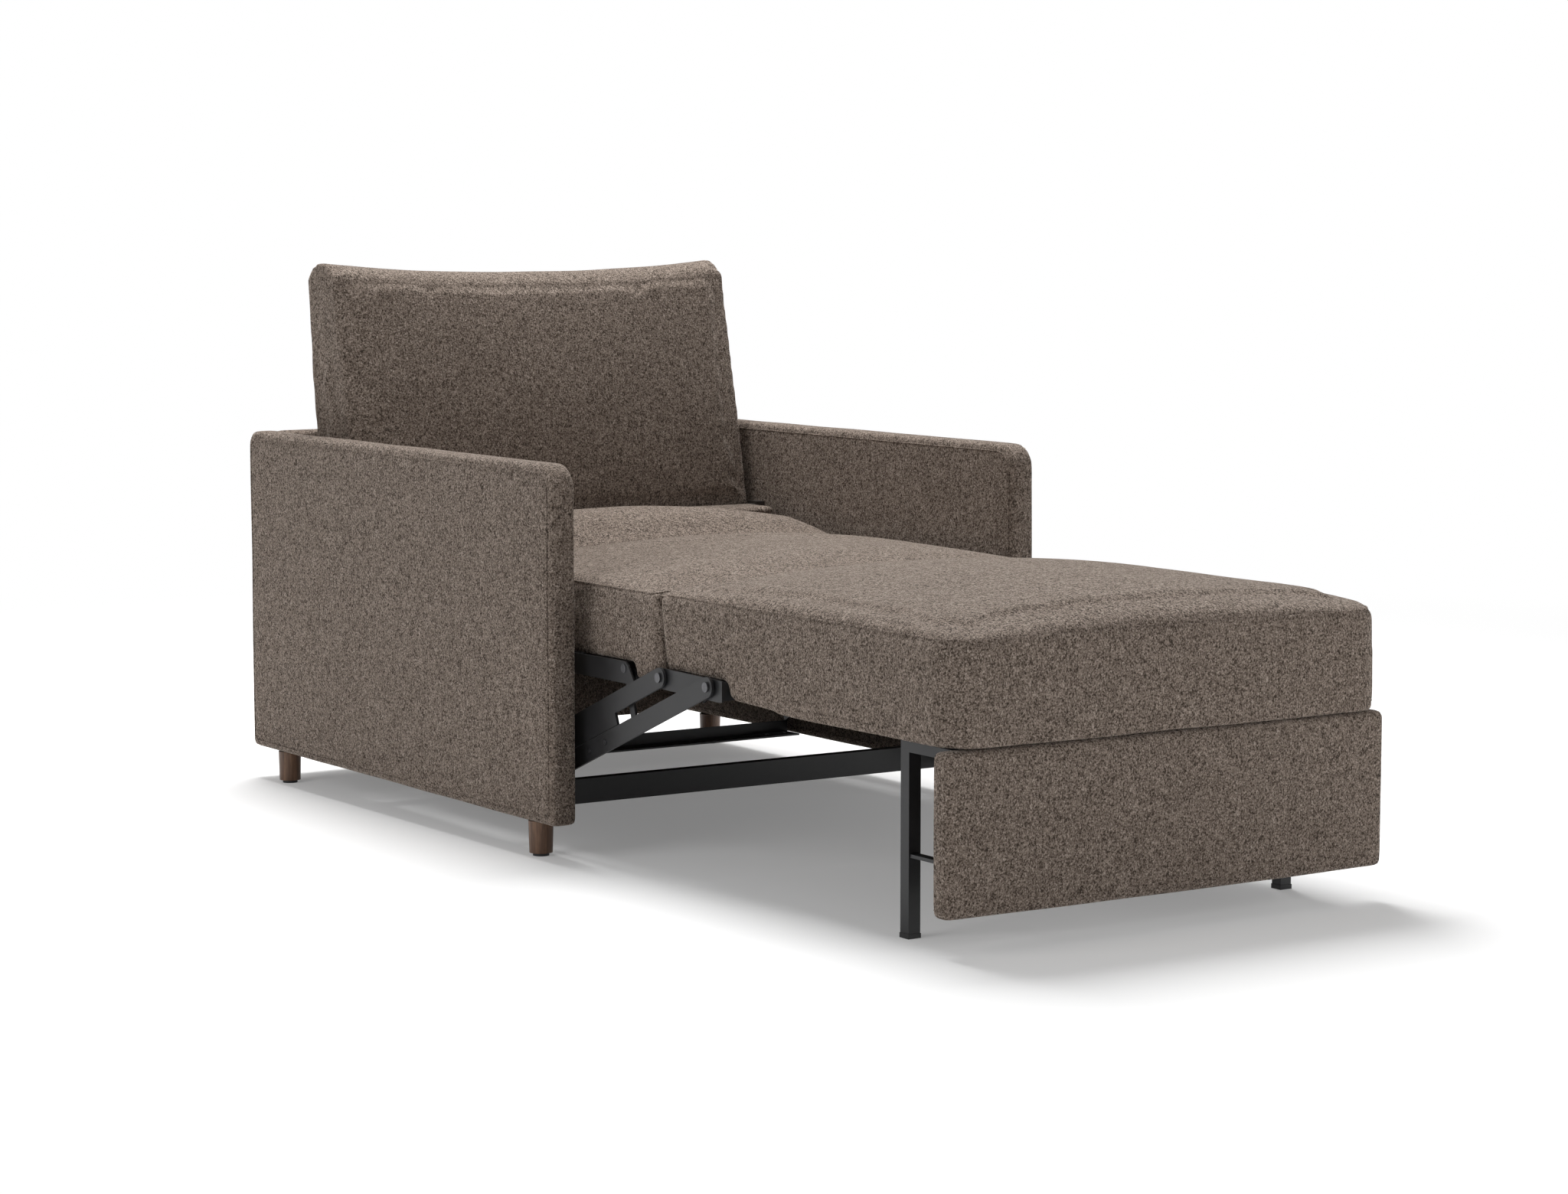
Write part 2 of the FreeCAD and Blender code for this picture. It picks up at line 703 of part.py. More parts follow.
def main():
    """Build every piece and write its file."""
    os.makedirs("parts", exist_ok=True)
    save_pair("arm_cover", arm_cover())
    save_pair("arm_board", arm_slab(ARM_COVER_WALL))
    cover, core = back_panel()
    save("back_panel_cover", cover)
    save("back_panel_board", core)
    wood, pads = feet()
    save("wooden_feet", wood)
    save("foot_glides", pads)
    save("front_beam", front_beam())
    save("rear_angle", rear_angle())
    save("beam_screws", beam_screws())
    save_pair("pivot_plate", pivot_plate())
    save("base_pins", both_sides(base_pins()))
    rails = Part.makeCompound([slide_rail(y) for y in ROLLER_Y])
    save_pair("slide_rails", rails)

    save_pair("lower_link", lower_link())
    save_pair("upper_link", upper_link())
    save_pair("link_rivets", link_rivets())

    save("front_cushion", front_cushion())
    frame_end = -236.0
    rail_top = FRAME_Z[0] + LEG_SIZE
    sides, ends = tube_frame(LEG_OUTER, FRONT_START + 40.0, frame_end, FRAME_Z[0], rail_top, LEG_SIZE)
    save("front_side_rails", sides)
    save("front_end_rails", ends)
    save("front_slats", slats(LEG_OUTER, FRONT_START + 42.0, frame_end, FRAME_Z[0] + 20.0, FRAME_Z[1], 8))
    save_pair("link_bracket", bracket())
    save("tip_bolts", both_sides(tip_bolts()))
    leg = box(LEG_OUTER - LEG_SIZE, LEG_OUTER, LEG_Y, LEG_Y + LEG_SIZE, LEG_CAP, FRAME_Z[0])
    save_pair("front_leg", leg)
    cap = box(LEG_OUTER - LEG_SIZE - 0.8, LEG_OUTER + 0.8, LEG_Y - 0.8, LEG_Y + LEG_SIZE + 0.8, 0.0, LEG_CAP)
    save("leg_caps", both_sides(cap))
    panel_rear = PANEL_FRONT + PANEL_DEPTH
    tie = box(LEG_OUTER - 17.0, LEG_OUTER - 2.0, panel_rear, LEG_Y, STRUT_Z[0], STRUT_Z[1])
    save("panel_ties", both_sides(tie))
    save("foot_panel_cover", foot_panel_cover())
    save("foot_panel_board", foot_panel(12.0))
    hanger = box(LEG_OUTER - LEG_SIZE, LEG_OUTER, panel_rear, LEG_Y, PANEL_Z[1] - 20.0, PANEL_Z[1] - 5.0)
    save("panel_hangers", both_sides(hanger))

    save("middle_cushion", middle_cushion())
    save("rear_cushion", rear_cushion())
    sides, ends = tube_frame(386.0, LIP_END + 2.0, REAR_END - 12.0, FRAME_Z[0], FRAME_Z[0] + 20.0, LEG_SIZE)
    save("deck_side_rails", sides)
    save("deck_end_rails", ends)
    save("deck_slats", slats(386.0, LIP_END + 4.0, REAR_END - 12.0, FRAME_Z[0] + 20.0, FRAME_Z[1], 9))
    save_pair("deck_plate", deck_plate())
    rollers, studs = deck_rollers()
    save("deck_rollers", both_sides(rollers))
    save("roller_studs", both_sides(studs))
    save("prop_bolts", both_sides(prop_bolt()))
    save_pair("prop_strut", prop_strut())

    body, board, sockets, posts = back_parts()
    save("back_cushion", body)
    save("back_board", board)
    save("post_sockets", sockets)
    save("back_posts", posts)
    pad, ledge, lugs = rear_ledge()
    pad_cut = pad
    for side in (-1.0, 1.0):
        pad_cut = pad_cut.cut(post_rod(side, POST_RADIUS + 1.0, -60.0, POST_LENGTH))
    save("rear_ledge_pad", pad_cut)
    save("rear_ledge_board", ledge)
    save("flap_lugs", lugs)
    flap, flap_board, flap_rod = rear_flap()
    save("flap_pad", flap)
    save("flap_board", flap_board)
    save("flap_rod", flap_rod)


main()
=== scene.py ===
"""Dresses the convertible chair bed: padded covers, seams, finishes, studio and camera."""

import logging
import math
from dataclasses import dataclass, field
from enum import Enum
from typing import Callable, Iterable, Optional, Sequence

import bpy
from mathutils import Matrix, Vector, noise
from mathutils.bvhtree import BVHTree
from mathutils.kdtree import KDTree

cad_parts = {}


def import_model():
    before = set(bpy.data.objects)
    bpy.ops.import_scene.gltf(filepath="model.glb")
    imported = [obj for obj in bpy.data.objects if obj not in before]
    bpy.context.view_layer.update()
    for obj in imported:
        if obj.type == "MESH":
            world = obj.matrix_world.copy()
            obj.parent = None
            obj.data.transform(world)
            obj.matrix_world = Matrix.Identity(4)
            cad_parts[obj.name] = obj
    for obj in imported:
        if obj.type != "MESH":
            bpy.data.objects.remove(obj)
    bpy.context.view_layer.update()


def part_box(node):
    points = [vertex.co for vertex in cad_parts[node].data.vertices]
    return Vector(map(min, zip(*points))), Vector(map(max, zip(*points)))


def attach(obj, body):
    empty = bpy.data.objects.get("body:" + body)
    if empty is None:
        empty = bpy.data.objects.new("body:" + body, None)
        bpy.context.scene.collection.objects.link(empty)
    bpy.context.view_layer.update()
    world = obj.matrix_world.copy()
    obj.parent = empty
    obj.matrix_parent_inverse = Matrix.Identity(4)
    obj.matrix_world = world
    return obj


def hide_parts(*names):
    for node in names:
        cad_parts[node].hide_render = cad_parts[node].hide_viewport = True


LOG = logging.getLogger("chair_bed")
Point = tuple[float, float, float]
Colour = tuple[float, float, float]

# The frame's Y of the arms' front face, in metres
SHIFT = -0.063
# How far the middle of a sewn cord lies below the cover
CORD_SINK = 0.0003
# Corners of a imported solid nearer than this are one
WELD = 0.00002
# Cover faces that meet at less than this many degrees are shaded smoothly
SMOOTH_ANGLE = 60.0
# Steps in a quarter turn of an arm's panel, and points of a line round a cushion or a panel
CORNER_STEPS = 8
RING_POINTS = 560
PANEL_RING_POINTS = 360
# Further from a body's middle than any of its sides
SEARCH_REACH = 1.2


class Axis(Enum):
    """The three directions of the object's frame."""

    X = 0
    Y = 1
    Z = 2


def y_from_arm(depth: float) -> float:
    """The frame's Y of a place given as a depth behind the arms' front face, in metres."""
    return depth + SHIFT


def ease(value: float, low: float, high: float) -> float:
    """A smooth step from 0 at low to 1 at high."""
    t = min(1.0, max(0.0, (value - low) / (high - low)))
    return t * t * (3.0 - 2.0 * t)


# Small modelling helpers


def pick_only(obj: bpy.types.Object) -> None:
    """Deselects everything and makes one object selected and active."""
    bpy.ops.object.select_all(action="DESELECT")
    obj.hide_set(False)
    obj.select_set(True)
    bpy.context.view_layer.objects.active = obj


def finish_modifier(obj: bpy.types.Object, modifier: bpy.types.Modifier) -> None:
    """Applies one modifier of an object."""
    pick_only(obj)
    bpy.ops.object.modifier_apply(modifier=modifier.name)


def settle(obj: bpy.types.Object) -> None:
    """Puts an object's place, turn and scale into its mesh."""
    pick_only(obj)
    bpy.ops.object.transform_apply(location=True, rotation=True, scale=True)


def smooth_faces(obj: bpy.types.Object, angle: float = 40.0) -> None:
    """Shades faces smoothly where they meet at less than an angle in degrees."""
    pick_only(obj)
    bpy.ops.object.shade_smooth_by_angle(angle=math.radians(angle))


def outer_shell(node: str, name: str) -> bpy.types.Object:
    """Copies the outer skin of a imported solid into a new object.

    Args:
        node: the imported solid's name.
        name: the new object's name.

    Returns:
        The new object, merged, without any inner hollow.
    """
    source = bpy.data.objects[node]
    obj = bpy.data.objects.new(name, source.data.copy())
    bpy.context.scene.collection.objects.link(obj)
    pick_only(obj)
    bpy.ops.object.mode_set(mode="EDIT")
    bpy.ops.mesh.select_all(action="SELECT")
    bpy.ops.mesh.remove_doubles(threshold=WELD)
    bpy.ops.mesh.separate(type="LOOSE")
    bpy.ops.object.mode_set(mode="OBJECT")
    shells = list(bpy.context.selected_objects)
    shells.sort(key=lambda part: part.dimensions.length, reverse=True)
    keep = shells[0]
    for part in shells[1:]:
        bpy.data.objects.remove(part)
    keep.name = name
    keep.data.name = name
    keep.data.materials.clear()
    return keep


def even_mesh(obj: bpy.types.Object, voxel: float) -> None:
    """Rebuilds a closed mesh with faces of one even size."""
    modifier = obj.modifiers.new("even", "REMESH")
    modifier.mode = "VOXEL"
    modifier.voxel_size = voxel
    modifier.use_smooth_shade = True
    finish_modifier(obj, modifier)


def soften(obj: bpy.types.Object, rounds: int) -> None:
    """Rounds a mesh's edges by smoothing it a number of times."""
    modifier = obj.modifiers.new("soft", "SMOOTH")
    modifier.factor = 0.5
    modifier.iterations = rounds
    finish_modifier(obj, modifier)


def refine(obj: bpy.types.Object) -> None:
    """Adds one level of subdivision to a mesh."""
    modifier = obj.modifiers.new("fine", "SUBSURF")
    modifier.levels = 1
    modifier.render_levels = 1
    finish_modifier(obj, modifier)


def reshape(obj: bpy.types.Object, move: Callable[[Vector, Vector], Vector]) -> None:
    """Moves each vertex of a mesh.

    Args:
        obj: the object.
        move: gives a vertex's new place from its place and its normal.
    """
    moved = [move(v.co.copy(), v.normal.copy()) for v in obj.data.vertices]
    for vertex, place in zip(obj.data.vertices, moved):
        vertex.co = place
    obj.data.update()


def surface_of(obj: bpy.types.Object) -> BVHTree:
    """A search tree of an object's faces."""
    places = [vertex.co for vertex in obj.data.vertices]
    faces = [face.vertices[:] for face in obj.data.polygons]
    return BVHTree.FromPolygons(places, faces)


def laid_on(surface: BVHTree, points: Iterable[Vector], direction: Vector) -> list[Vector]:
    """Drops points along a direction to just below a surface.

    Args:
        surface: the search tree of the surface.
        points: the points, each before the surface along the direction.
        direction: the way the points travel.

    Returns:
        The points that meet the surface.
    """
    found = []
    for point in points:
        hit, normal, _index, _distance = surface.ray_cast(point, direction)
        if hit is not None:
            found.append(hit - normal * CORD_SINK)
    return found


def around(surface: BVHTree, centre: Vector, count: int, height: float) -> list[Vector]:
    """A closed line round an upright body at a given height.

    Args:
        surface: the search tree of the body.
        centre: a point inside the body.
        count: the number of points.
        height: the line's height.

    Returns:
        The line's points in order.
    """
    line = []
    for step in range(count):
        angle = 2.0 * math.pi * step / count
        out = Vector((math.cos(angle), math.sin(angle), 0.0))
        start = Vector((centre.x, centre.y, height)) + out * SEARCH_REACH
        hit, normal, _index, _distance = surface.ray_cast(start, -out)
        if hit is not None:
            line.append(hit - normal * CORD_SINK)
    return line


def dense(line: Sequence[Vector], step: float) -> list[Vector]:
    """Fills a closed line with points no further apart than a step."""
    result: list[Vector] = []
    for index, first in enumerate(line):
        second = line[(index + 1) % len(line)]
        pieces = max(1, math.ceil((second - first).length / step))
        for piece in range(pieces):
            result.append(first.lerp(second, piece / pieces))
    return result


def press_line(obj: bpy.types.Object, line: Sequence[Vector], depth: float, width: float) -> None:
    """Draws a surface in along a line, as stitching does."""
    tree = KDTree(len(line))
    for index, point in enumerate(line):
        tree.insert(point, index)
    tree.balance()

    def drawn(place: Vector, normal: Vector) -> Vector:
        _near, _index, distance = tree.find(place)
        if distance > width * 3.0:
            return place
        return place - normal * depth * math.exp(-((distance / width) ** 2))

    reshape(obj, drawn)


def seam_cord(name: str, line: Sequence[Vector], radius: float, closed: bool) -> bpy.types.Object:
    """A thin sewn ridge along a line, as a mesh.

    Args:
        name: the new object's name.
        line: the points it follows.
        radius: half its width.
        closed: whether its ends join.

    Returns:
        The new object.
    """
    data = bpy.data.curves.new(name, "CURVE")
    data.dimensions = "3D"
    data.bevel_depth = radius
    data.bevel_resolution = 1
    data.use_fill_caps = not closed
    spline = data.splines.new("POLY")
    spline.points.add(len(line) - 1)
    for knot, point in zip(spline.points, line):
        knot.co = (point.x, point.y, point.z, 1.0)
    spline.use_cyclic_u = closed
    obj = bpy.data.objects.new(name, data)
    bpy.context.scene.collection.objects.link(obj)
    pick_only(obj)
    bpy.ops.object.convert(target="MESH")
    obj = bpy.context.view_layer.objects.active
    obj.name = name
    smooth_faces(obj, 80.0)
    return obj


@dataclass(frozen=True)
class Stitching:
    """One kind of sewn line.

    Attributes:
        draw: how far it draws the cover in.
        width: how far to each side it does so.
        cord: the radius of the cord that lies in it.
    """

    draw: float
    width: float
    cord: float

    def press(self, cover: bpy.types.Object, line: Sequence[Vector]) -> None:
        """Draws the cover in along the line."""
        press_line(cover, line, self.draw, self.width)

    def sew(self, name: str, line: Sequence[Vector], closed: bool = True) -> bpy.types.Object:
        """Lays the cord along the line."""
        return seam_cord(name, line, self.cord, closed)


# Finishes


@dataclass(frozen=True)
class NodeBoard:
    """Builds the node tree of one material."""

    material: bpy.types.Material

    @staticmethod
    def fresh(name: str) -> "NodeBoard":
        """A new material with an empty node tree."""
        material = bpy.data.materials.new(name)
        material.use_nodes = True
        material.node_tree.nodes.clear()
        return NodeBoard(material)

    def add(self, kind: str, **settings: object) -> bpy.types.Node:
        """Adds a node and sets its properties."""
        node = self.material.node_tree.nodes.new(kind)
        for key, value in settings.items():
            setattr(node, key, value)
        return node

    def join(self, source: bpy.types.NodeSocket, target: bpy.types.NodeSocket) -> None:
        """Links an output to an input."""
        self.material.node_tree.links.new(source, target)

    def shader(self, roughness: float, metallic: float = 0.0) -> bpy.types.Node:
        """Adds the surface shader and the output that it feeds."""
        shader = self.add("ShaderNodeBsdfPrincipled")
        shader.inputs["Roughness"].default_value = roughness
        shader.inputs["Metallic"].default_value = metallic
        out = self.add("ShaderNodeOutputMaterial")
        self.join(shader.outputs["BSDF"], out.inputs["Surface"])
        return shader

    def place(self, scale: Point = (1.0, 1.0, 1.0),
              turn: Point = (0.0, 0.0, 0.0)) -> bpy.types.NodeSocket:
        """The object's own coordinates, stretched and turned."""
        coordinates = self.add("ShaderNodeTexCoord")
        mapping = self.add("ShaderNodeMapping")
        mapping.inputs["Scale"].default_value = scale
        mapping.inputs["Rotation"].default_value = turn
        self.join(coordinates.outputs["Object"], mapping.inputs["Vector"])
        return mapping.outputs["Vector"]

    def grain(self, where: bpy.types.NodeSocket, scale: float, detail: float = 2.0,
              roughness: float = 0.5, distortion: float = 0.0) -> bpy.types.NodeSocket:
        """Soft random variation over the surface."""
        node = self.add("ShaderNodeTexNoise")
        node.inputs["Scale"].default_value = scale
        node.inputs["Detail"].default_value = detail
        node.inputs["Roughness"].default_value = roughness
        node.inputs["Distortion"].default_value = distortion
        self.join(where, node.inputs["Vector"])
        return node.outputs["Fac"]

    def cells(self, where: bpy.types.NodeSocket, scale: float) -> bpy.types.NodeSocket:
        """Rounded loops packed side by side."""
        node = self.add("ShaderNodeTexVoronoi", feature="F1")
        node.inputs["Scale"].default_value = scale
        self.join(where, node.inputs["Vector"])
        return node.outputs["Distance"]

    def ramp(self, value: bpy.types.NodeSocket,
             stops: Sequence[tuple[float, Colour]]) -> bpy.types.NodeSocket:
        """Turns a value into a colour through colour stops."""
        node = self.add("ShaderNodeValToRGB")
        while len(node.color_ramp.elements) > 1:
            node.color_ramp.elements.remove(node.color_ramp.elements[-1])
        first = node.color_ramp.elements[0]
        first.position = stops[0][0]
        first.color = (*stops[0][1], 1.0)
        for position, colour in stops[1:]:
            node.color_ramp.elements.new(position).color = (*colour, 1.0)
        self.join(value, node.inputs["Fac"])
        return node.outputs["Color"]

    def blend(self, kind: str, amount: float, first: bpy.types.NodeSocket,
              second: bpy.types.NodeSocket) -> bpy.types.NodeSocket:
        """Mixes two colours by a fixed amount."""
        node = self.add("ShaderNodeMix", data_type="RGBA", blend_type=kind)
        node.inputs["Factor"].default_value = amount
        self.join(first, node.inputs[6])
        self.join(second, node.inputs[7])
        return node.outputs[2]

    def sum(self, kind: str, first: bpy.types.NodeSocket,
            second: bpy.types.NodeSocket | float) -> bpy.types.NodeSocket:
        """Combines two values with one arithmetic operation."""
        node = self.add("ShaderNodeMath", operation=kind)
        self.join(first, node.inputs[0])
        if isinstance(second, float):
            node.inputs[1].default_value = second
        else:
            self.join(second, node.inputs[1])
        return node.outputs["Value"]

    def relief(self, height: bpy.types.NodeSocket, distance: float,
               strength: float) -> bpy.types.NodeSocket:
        """Turns a height into surface relief."""
        node = self.add("ShaderNodeBump")
        node.inputs["Distance"].default_value = distance
        node.inputs["Strength"].default_value = strength
        self.join(height, node.inputs["Height"])
        return node.outputs["Normal"]


@dataclass(frozen=True)
class MelangeFabric:
    """Crinkled grey-brown upholstery fabric with pale flecks."""

    name: str = "melange_fabric"
    gap: Colour = (0.045, 0.034, 0.026)
    yarn: Colour = (0.185, 0.145, 0.118)
    light_yarn: Colour = (0.285, 0.230, 0.192)
    fleck: Colour = (0.50, 0.425, 0.37)
    crinkle: float = 470.0
    relief: float = 0.0013

    def make(self) -> bpy.types.Material:
        """Builds the material."""
        board = NodeBoard.fresh(self.name)
        shader = board.shader(0.94)
        shader.inputs["Specular IOR Level"].default_value = 0.18
        shader.inputs["Sheen Roughness"].default_value = 0.3
        shader.inputs["Sheen Tint"].default_value = (1.0, 0.87, 0.76, 1.0)
        where = board.place((1.0, 1.0, 0.82), (0.35, 0.2, 0.3))
        fine = board.grain(where, self.crinkle, 3.5, 0.62, 1.1)
        loops = board.cells(where, self.crinkle * 0.9)
        height = board.sum("SUBTRACT", fine, board.sum("MULTIPLY", loops, 0.32))
        folded = board.place((1.0, 0.75, 1.0), (0.3, 0.4, 0.7))
        crinkle = board.grain(folded, self.crinkle * 0.3, 2.5, 0.55, 1.6)
        height = board.sum("ADD", height, board.sum("MULTIPLY", crinkle, 0.55))
        slubs = board.grain(board.place((1.0, 1.0, 0.16), (0.0, 0.0, 0.1)), 330.0, 2.0, 0.5)
        height = board.sum("ADD", height, board.sum("MULTIPLY", slubs, 0.20))
        colour = board.ramp(height, [
            (0.56, self.gap),
            (0.70, self.yarn),
            (0.83, self.light_yarn),
            (0.97, self.fleck),
        ])
        raised = board.sum("MAXIMUM", board.sum("SUBTRACT", height, 0.58), 0.0)
        sheen = board.sum("MINIMUM", board.sum("MULTIPLY", raised, 3.6), 1.0)
        board.join(sheen, shader.inputs["Sheen Weight"])
        patches = board.grain(board.place(), 21.0, 3.0, 0.6)
        shade = board.ramp(patches, [(0.25, (0.88, 0.87, 0.86)), (0.75, (1.0, 1.0, 1.0))])
        board.join(board.blend("MULTIPLY", 1.0, colour, shade), shader.inputs["Base Color"])
        board.join(board.relief(height, self.relief, 0.9), shader.inputs["Normal"])
        return board.material


@dataclass(frozen=True)
class PowderCoat:
    """Satin black powder coat on steel, with a fine orange-peel texture."""

    name: str = "powder_coat"
    colour: Colour = (0.0125, 0.0125, 0.0135)
    worn: Colour = (0.024, 0.024, 0.026)

    def make(self) -> bpy.types.Material:
        """Builds the material."""
        board = NodeBoard.fresh(self.name)
        shader = board.shader(0.42)
        where = board.place()
        peel = board.grain(where, 900.0, 2.0, 0.5)
        dust = board.grain(where, 16.0, 5.0, 0.65)
        board.join(board.ramp(dust, [(0.35, self.colour), (0.8, self.worn)]), shader.inputs["Base Color"])
        rough = board.sum("ADD", board.sum("MULTIPLY", dust, 0.2), 0.33)
        board.join(rough, shader.inputs["Roughness"])
        board.join(board.relief(peel, 0.0001, 0.5), shader.inputs["Normal"])
        return board.material


@dataclass(frozen=True)
class DarkZinc:
    """Dark zinc-plated steel of bolts, rivets and pins."""

    name: str = "dark_zinc"
    colour: Colour = (0.09, 0.09, 0.095)

    def make(self) -> bpy.types.Material:
        """Builds the material."""
        board = NodeBoard.fresh(self.name)
        shader = board.shader(0.34, 0.85)
        where = board.place()
        stain = board.grain(where, 120.0, 4.0, 0.6)
        light = tuple(min(1.0, channel * 1.9) for channel in self.colour)
        board.join(board.ramp(stain, [(0.3, self.colour), (0.8, light)]), shader.inputs["Base Color"])
        board.join(board.sum("ADD", board.sum("MULTIPLY", stain, 0.25), 0.2), shader.inputs["Roughness"])
        board.join(board.relief(board.grain(where, 1500.0), 0.00005, 0.5), shader.inputs["Normal"])
        return board.material


@dataclass(frozen=True)
class StainedWood:
    """Oiled wood with upright grain, pores and darker streaks."""

    name: str = "walnut_wood"
    dark: Colour = (0.055, 0.026, 0.013)
    middle: Colour = (0.125, 0.062, 0.032)
    light: Colour = (0.21, 0.112, 0.06)
    along: Axis = Axis.Z
    roughness: float = 0.42

    def make(self) -> bpy.types.Material:
        """Builds the material."""
        board = NodeBoard.fresh(self.name)
        shader = board.shader(self.roughness)
        stretch = [1.0, 1.0, 1.0]
        stretch[self.along.value] = 0.06
        where = board.place(tuple(stretch))
        bands = board.grain(where, 150.0, 4.0, 0.6, 0.6)
        pores = board.grain(where, 1300.0, 2.0, 0.5)
        mixed = board.sum("ADD", board.sum("MULTIPLY", bands, 0.75), board.sum("MULTIPLY", pores, 0.25))
        colour = board.ramp(mixed, [(0.34, self.dark), (0.5, self.middle), (0.68, self.light)])
        board.join(colour, shader.inputs["Base Color"])
        board.join(board.relief(pores, 0.0002, 0.45), shader.inputs["Normal"])
        return board.material


@dataclass(frozen=True)
class MouldedPlastic:
    """Black moulded plastic of glides, caps and rollers."""

    name: str = "moulded_plastic"
    colour: Colour = (0.013, 0.013, 0.014)

    def make(self) -> bpy.types.Material:
        """Builds the material."""
        board = NodeBoard.fresh(self.name)
        shader = board.shader(0.5)
        spark = board.grain(board.place(), 1400.0, 2.0)
        pale = tuple(channel * 1.7 for channel in self.colour)
        board.join(board.ramp(spark, [(0.3, self.colour), (0.8, pale)]), shader.inputs["Base Color"])
        board.join(board.relief(spark, 0.00008, 0.6), shader.inputs["Normal"])
        return board.material


class Finish(Enum):
    """The finishes of this object, each with its record slot and its maker."""

    FABRIC = ("upholstery", MelangeFabric())
    STEEL = ("black_steel", PowderCoat())
    # The flap lugs' and rod's coat: its dusky taupe colour is painted shade, matched to the shaded fabric
    # beside the arms so that these parts read as shadow there.
    COATED = ("black_steel", PowderCoat(
        "painted_shade_coat", (0.034, 0.027, 0.022), (0.045, 0.036, 0.030)))
    BOLTS = ("bolt_steel", DarkZinc())
    FEET = ("foot_wood", StainedWood())
    SLATS = ("slat_wood", StainedWood(
        "black_stained_slats", (0.010, 0.008, 0.007), (0.020, 0.016, 0.013), (0.034, 0.027, 0.022),
        Axis.X, 0.5))
    BOARD = ("frame_board", StainedWood(
        "pressed_board", (0.24, 0.16, 0.09), (0.36, 0.25, 0.15), (0.46, 0.34, 0.21),
        Axis.Y, 0.7))
    PLASTIC = ("black_plastic", MouldedPlastic())

    @property
    def slot(self) -> str:
        """The record's material slot."""
        return self.value[0]


class Wardrobe:
    """Makes each finish once and dresses objects with it."""

    def __init__(self) -> None:
        """Starts with no material made."""
        self.made: dict[Finish, bpy.types.Material] = {}

    def cloth_for(self, finish: Finish) -> bpy.types.Material:
        """The material of a finish, made on first use."""
        if finish not in self.made:
            self.made[finish] = finish.value[1].make()
        return self.made[finish]

    def dress(self, obj: bpy.types.Object, finish: Finish) -> None:
        """Gives an object one finish all over."""
        material = self.cloth_for(finish)
        if not obj.material_slots:
            obj.data.materials.append(material)
        for holder in obj.material_slots:
            holder.material = material

    def place(self, obj: bpy.types.Object, body: str, finish: Finish, *stands_for: str) -> None:
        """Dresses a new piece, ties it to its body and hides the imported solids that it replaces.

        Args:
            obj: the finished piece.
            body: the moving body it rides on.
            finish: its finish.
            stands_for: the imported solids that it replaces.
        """
        self.dress(obj, finish)
        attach(obj, body)
        finish.slot
        if stands_for:
            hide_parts(*stands_for)
        LOG.info("%s: %d faces on %s", obj.name, len(obj.data.polygons), body)


# Padded pieces


